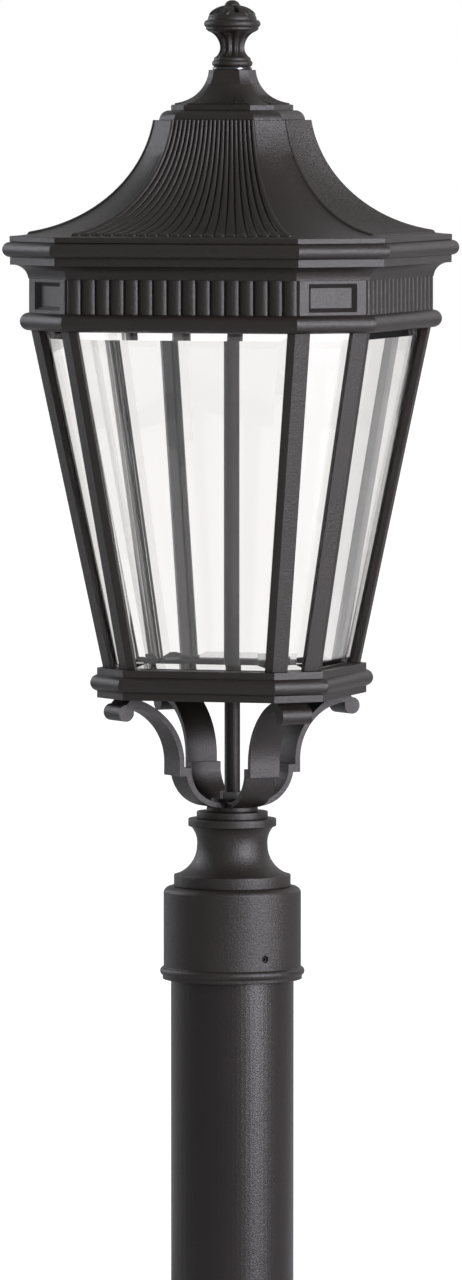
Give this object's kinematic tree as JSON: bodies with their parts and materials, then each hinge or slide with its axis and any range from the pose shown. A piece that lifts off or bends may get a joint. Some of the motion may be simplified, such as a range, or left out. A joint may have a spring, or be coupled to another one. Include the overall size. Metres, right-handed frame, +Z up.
{
  "type": "post-top street lantern",
  "caption": "Post-top street lantern: fluted concave roof with finial, bevelled glass cage on scroll arms, and a turned fitter clamped on a round post section.",
  "frame": {"origin": "centre of the foot of the post section, where the post carries on downwards", "axes": "+Z up along the post, the lantern's four wide glazed faces look along +X, -X, +Y and -Y"},
  "size_m": [0.2476, 0.2476, 0.8065],
  "materials": {
    "lantern_coat": "fine-textured dark bronze-black powder coat",
    "post_coat": "satin black powder coat",
    "clear_glass": "clear, bevelled edges",
    "fastener_steel": "dark plated",
    "washer_metal": "smooth glossy dark",
    "plain_aluminium": "mill",
    "board_white": "white solder mask",
    "led_phosphor": "phosphor",
    "opal_plastic": "opal",
    "driver_case": "plain"
  },
  "bodies": {
    "lantern": {"post_fitter": "lantern_coat", "neck_casting": "lantern_coat", "ring_disc": "lantern_coat", "hub_disc": "lantern_coat", "hub_boss": "lantern_coat", "scroll_arm_1": "lantern_coat", "scroll_arm_2": "lantern_coat", "scroll_arm_3": "lantern_coat", "scroll_arm_4": "lantern_coat", "base_ring": "lantern_coat", "base_pan": "lantern_coat", "cage_bar_1": "lantern_coat", "cage_bar_2": "lantern_coat", "cage_bar_3": "lantern_coat", "cage_bar_4": "lantern_coat", "cage_bar_5": "lantern_coat", "cage_bar_6": "lantern_coat", "cage_bar_7": "lantern_coat", "cage_bar_8": "lantern_coat", "crown_ring": "lantern_coat", "stem": "lantern_coat", "post": "post_coat", "wide_glass_1": "clear_glass", "narrow_glass_1": "clear_glass", "wide_glass_2": "clear_glass", "narrow_glass_2": "clear_glass", "wide_glass_3": "clear_glass", "narrow_glass_3": "clear_glass", "wide_glass_4": "clear_glass", "narrow_glass_4": "clear_glass", "foot_washer": "fastener_steel", "foot_nut": "fastener_steel", "neck_nut": "fastener_steel", "base_nut": "fastener_steel", "gear_nut_upper": "fastener_steel", "gear_nut_lower": "fastener_steel", "gear_plate": "plain_aluminium", "led_board": "board_white", "led_chips": "led_phosphor", "diffuser": "opal_plastic", "led_driver": "driver_case"},
    "roof": {"roof_shell": "lantern_coat", "roof_step": "lantern_coat", "cupola_cap": "lantern_coat", "finial_washer": "washer_metal"},
    "finial": {"finial": "lantern_coat"},
    "set_screw_1": {"set_screw_1": "fastener_steel"},
    "set_screw_2": {"set_screw_2": "fastener_steel"},
    "set_screw_3": {"set_screw_3": "fastener_steel"}
  },
  "joints": [
    {"name": "roof_lift", "type": "slide", "parent": "lantern", "child": "roof", "axis": [0, 0, 1], "range_m": [0, 0.12]},
    {"name": "finial_turn", "type": "hinge", "parent": "roof", "child": "finial", "pos_m": [0, 0, 0.7651], "axis": [0, 0, 1], "continuous": true},
    {"name": "set_screw_1_back_out", "type": "slide", "parent": "lantern", "child": "set_screw_1", "axis": [0.7071, -0.7071, 0], "range_m": [0, 0.003]},
    {"name": "set_screw_2_back_out", "type": "slide", "parent": "lantern", "child": "set_screw_2", "axis": [0.2588, 0.9659, 0], "range_m": [0, 0.003]},
    {"name": "set_screw_3_back_out", "type": "slide", "parent": "lantern", "child": "set_screw_3", "axis": [-0.9659, -0.2588, 0], "range_m": [0, 0.003]}
  ]
}
